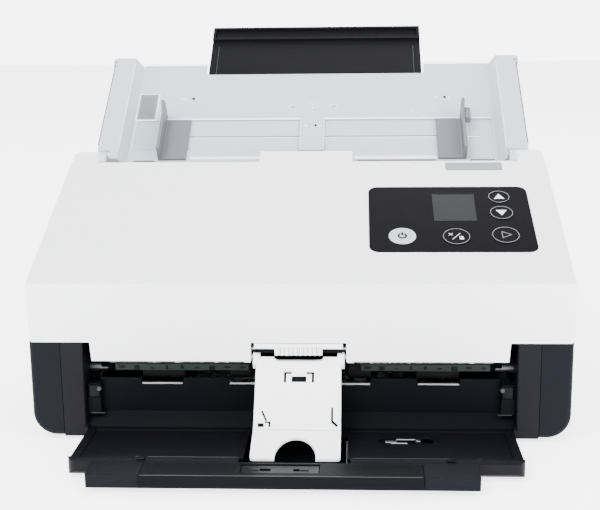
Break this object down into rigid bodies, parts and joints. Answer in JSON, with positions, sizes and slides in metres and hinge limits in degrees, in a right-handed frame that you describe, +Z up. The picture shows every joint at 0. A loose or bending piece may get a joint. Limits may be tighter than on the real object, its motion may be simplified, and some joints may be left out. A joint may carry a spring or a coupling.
{
  "type": "sheet fed document scanner",
  "caption": "Desktop sheet fed document scanner with a hinged white lid, key panel, sloping input tray with side guides and a fold-up output tray.",
  "frame": {"origin": "on the surface it stands on, below the middle of its footprint", "axes": "+X to the right seen from the front, +Y to the back, +Z up"},
  "size_m": [0.316, 0.34, 0.2325],
  "materials": {
    "white_shell": "fine satin white",
    "tray_white": "satin cool white",
    "guide_grey": "satin mid grey",
    "pad_grey": "ribbed grey",
    "side_charcoal": "fine matte charcoal",
    "body_black": "satin black",
    "gloss_black": "glossy black",
    "extension_dark": "matte dark grey",
    "panel_dark": "smooth dark panel",
    "display": "grey liquid crystal window",
    "button_grey": "light grey key",
    "button_dark": "dark key with pale ring",
    "rubber": "matte black rubber",
    "steel": "ground steel",
    "board": "green circuit board",
    "sensor_glass": "clear scan glass",
    "brass": "sintered bronze",
    "belt": "black toothed belt"
  },
  "bodies": {
    "lower_unit": {"base_pan": "body_black", "side_covers": "side_charcoal", "front_posts": "body_black", "side_frames": "steel", "rear_cover": "side_charcoal", "output_wall": "body_black", "exit_strips": "steel", "tray_brackets": "gloss_black", "rubber_feet": "rubber", "lower_guide": "body_black", "lower_sensor": "body_black", "lower_glass": "sensor_glass", "bushings": "brass", "motor": "steel", "drive_belt": "belt", "main_board": "board", "rear_sockets": "gloss_black", "input_tray": "tray_white", "tray_underside": "tray_white", "centre_bar": "tray_white", "wear_pad": "pad_grey", "case_screws": "steel", "tray_hinge_rod": "steel"},
    "lid": {"top_cover": "white_shell", "panel_bezel": "panel_dark", "display_window": "display", "panel_board": "board", "cover_pad": "pad_grey", "lid_pins": "steel", "upper_chassis": "body_black", "upper_sensor": "body_black", "upper_glass": "sensor_glass", "idler_axles": "steel", "sensor_board": "board", "front_lugs": "white_shell"},
    "exit_roll": {"exit_shaft": "steel", "exit_rollers": "rubber"},
    "feed_roll": {"feed_shaft": "steel", "feed_rollers": "rubber"},
    "pick_roll": {"pick_shaft": "steel", "pick_rollers": "rubber"},
    "motor_rotor": {"motor_pulley": "brass"},
    "separation_roll": {"separation_roller": "rubber"},
    "idler_roll": {"idler_rollers": "body_black"},
    "power_key": {"power_button": "button_grey"},
    "stop_key": {"stop_button": "button_dark"},
    "scan_key": {"scan_button": "button_dark"},
    "up_key": {"up_button": "button_dark"},
    "down_key": {"down_button": "button_dark"},
    "lid_latch": {"latch": "white_shell"},
    "exit_chute": {"chute_plate": "white_shell", "chute_tip": "tray_white"},
    "out_tray": {"output_tray": "body_black"},
    "out_extension": {"extension_one": "side_charcoal"},
    "out_grip": {"extension_two": "gloss_black"},
    "stopper": {"paper_stop": "side_charcoal"},
    "in_extension": {"tray_extension": "extension_dark"},
    "guide_left": {"left_guide": "guide_grey"},
    "guide_right": {"right_guide": "guide_grey"},
    "pinion": {"guide_pinion": "guide_grey"}
  },
  "joints": [
    {"name": "lid_open", "type": "hinge", "parent": "lower_unit", "child": "lid", "pos_m": [0, 0.0354, 0.1485], "axis": [-1, 0, 0], "range_deg": [0, 60]},
    {"name": "feed_spin", "type": "hinge", "parent": "lower_unit", "child": "feed_roll", "pos_m": [0, -0.00798, 0.08867], "axis": [1, 0, 0], "continuous": true},
    {"name": "exit_spin", "type": "hinge", "parent": "lower_unit", "child": "exit_roll", "pos_m": [0, -0.07317, 0.03886], "axis": [1, 0, 0], "continuous": true},
    {"name": "pick_spin", "type": "hinge", "parent": "lower_unit", "child": "pick_roll", "pos_m": [0, 0.02133, 0.11128], "axis": [1, 0, 0], "continuous": true},
    {"name": "motor_spin", "type": "hinge", "parent": "lower_unit", "child": "motor_rotor", "pos_m": [0, -0.0276, 0.032], "axis": [1, 0, 0], "continuous": true},
    {"name": "separation_spin", "type": "hinge", "parent": "lid", "child": "separation_roll", "pos_m": [0, -0.01898, 0.10215], "axis": [1, 0, 0], "continuous": true},
    {"name": "idler_spin", "type": "hinge", "parent": "lid", "child": "idler_roll", "pos_m": [0, -0.07086, 0.05739], "axis": [1, 0, 0], "continuous": true},
    {"name": "latch_press", "type": "hinge", "parent": "lid", "child": "lid_latch", "pos_m": [0, -0.0846, 0.054], "axis": [1, 0, 0], "range_deg": [0, 8], "stiffness_Nm_per_rad": 0.08, "springref_deg": -5.73},
    {"name": "chute_lift", "type": "hinge", "parent": "lid", "child": "exit_chute", "pos_m": [0, -0.0886, 0.05], "axis": [-1, 0, 0], "range_deg": [0, 40]},
    {"name": "out_tray_fold", "type": "hinge", "parent": "lower_unit", "child": "out_tray", "pos_m": [0, -0.0951, 0.0055], "axis": [-1, 0, 0], "range_deg": [0, 82]},
    {"name": "out_extension_slide", "type": "slide", "parent": "out_tray", "child": "out_extension", "axis": [0, -1, 0], "range_m": [0, 0.038]},
    {"name": "out_grip_slide", "type": "slide", "parent": "out_extension", "child": "out_grip", "axis": [0, -1, 0], "range_m": [0, 0.036]},
    {"name": "stopper_flip", "type": "hinge", "parent": "out_grip", "child": "stopper", "pos_m": [0, -0.1646, 0.0097], "axis": [1, 0, 0], "range_deg": [0, 90]},
    {"name": "in_extension_slide", "type": "slide", "parent": "lower_unit", "child": "in_extension", "axis": [0, -0.809, -0.5878], "range_m": [0, 0.04]},
    {"name": "left_guide_slide", "type": "slide", "parent": "lower_unit", "child": "guide_left", "axis": [1, 0, 0], "range_m": [0, 0.055]},
    {"name": "right_guide_slide", "type": "slide", "parent": "lower_unit", "child": "guide_right", "axis": [-1, 0, 0], "range_m": [0, 0.055]},
    {"name": "guide_pinion_spin", "type": "hinge", "parent": "lower_unit", "child": "pinion", "pos_m": [0.003, 0.06538, 0.15797], "axis": [0, 0.5878, -0.809], "range_deg": [-5, 775]},
    {"name": "power_press", "type": "slide", "parent": "lid", "child": "power_key", "axis": [0, 0.3968, -0.9179], "range_m": [0, 0.0006], "stiffness_N_per_m": 400, "springref_m": -0.0005},
    {"name": "stop_press", "type": "slide", "parent": "lid", "child": "stop_key", "axis": [0, 0.3968, -0.9179], "range_m": [0, 0.0006], "stiffness_N_per_m": 400, "springref_m": -0.0005},
    {"name": "scan_press", "type": "slide", "parent": "lid", "child": "scan_key", "axis": [0, 0.3968, -0.9179], "range_m": [0, 0.0006], "stiffness_N_per_m": 400, "springref_m": -0.0005},
    {"name": "up_press", "type": "slide", "parent": "lid", "child": "up_key", "axis": [0, 0.3968, -0.9179], "range_m": [0, 0.0006], "stiffness_N_per_m": 400, "springref_m": -0.0005},
    {"name": "down_press", "type": "slide", "parent": "lid", "child": "down_key", "axis": [0, 0.3968, -0.9179], "range_m": [0, 0.0006], "stiffness_N_per_m": 400, "springref_m": -0.0005}
  ],
  "couplings": [
    {"joint": "exit_spin", "follows": "feed_spin", "ratio": 1.5714},
    {"joint": "pick_spin", "follows": "feed_spin", "ratio": 1.375},
    {"joint": "motor_spin", "follows": "feed_spin", "ratio": 1.8333},
    {"joint": "right_guide_slide", "follows": "left_guide_slide", "ratio": 1},
    {"joint": "guide_pinion_spin", "follows": "left_guide_slide", "rad_per_m": 243.9}
  ]
}
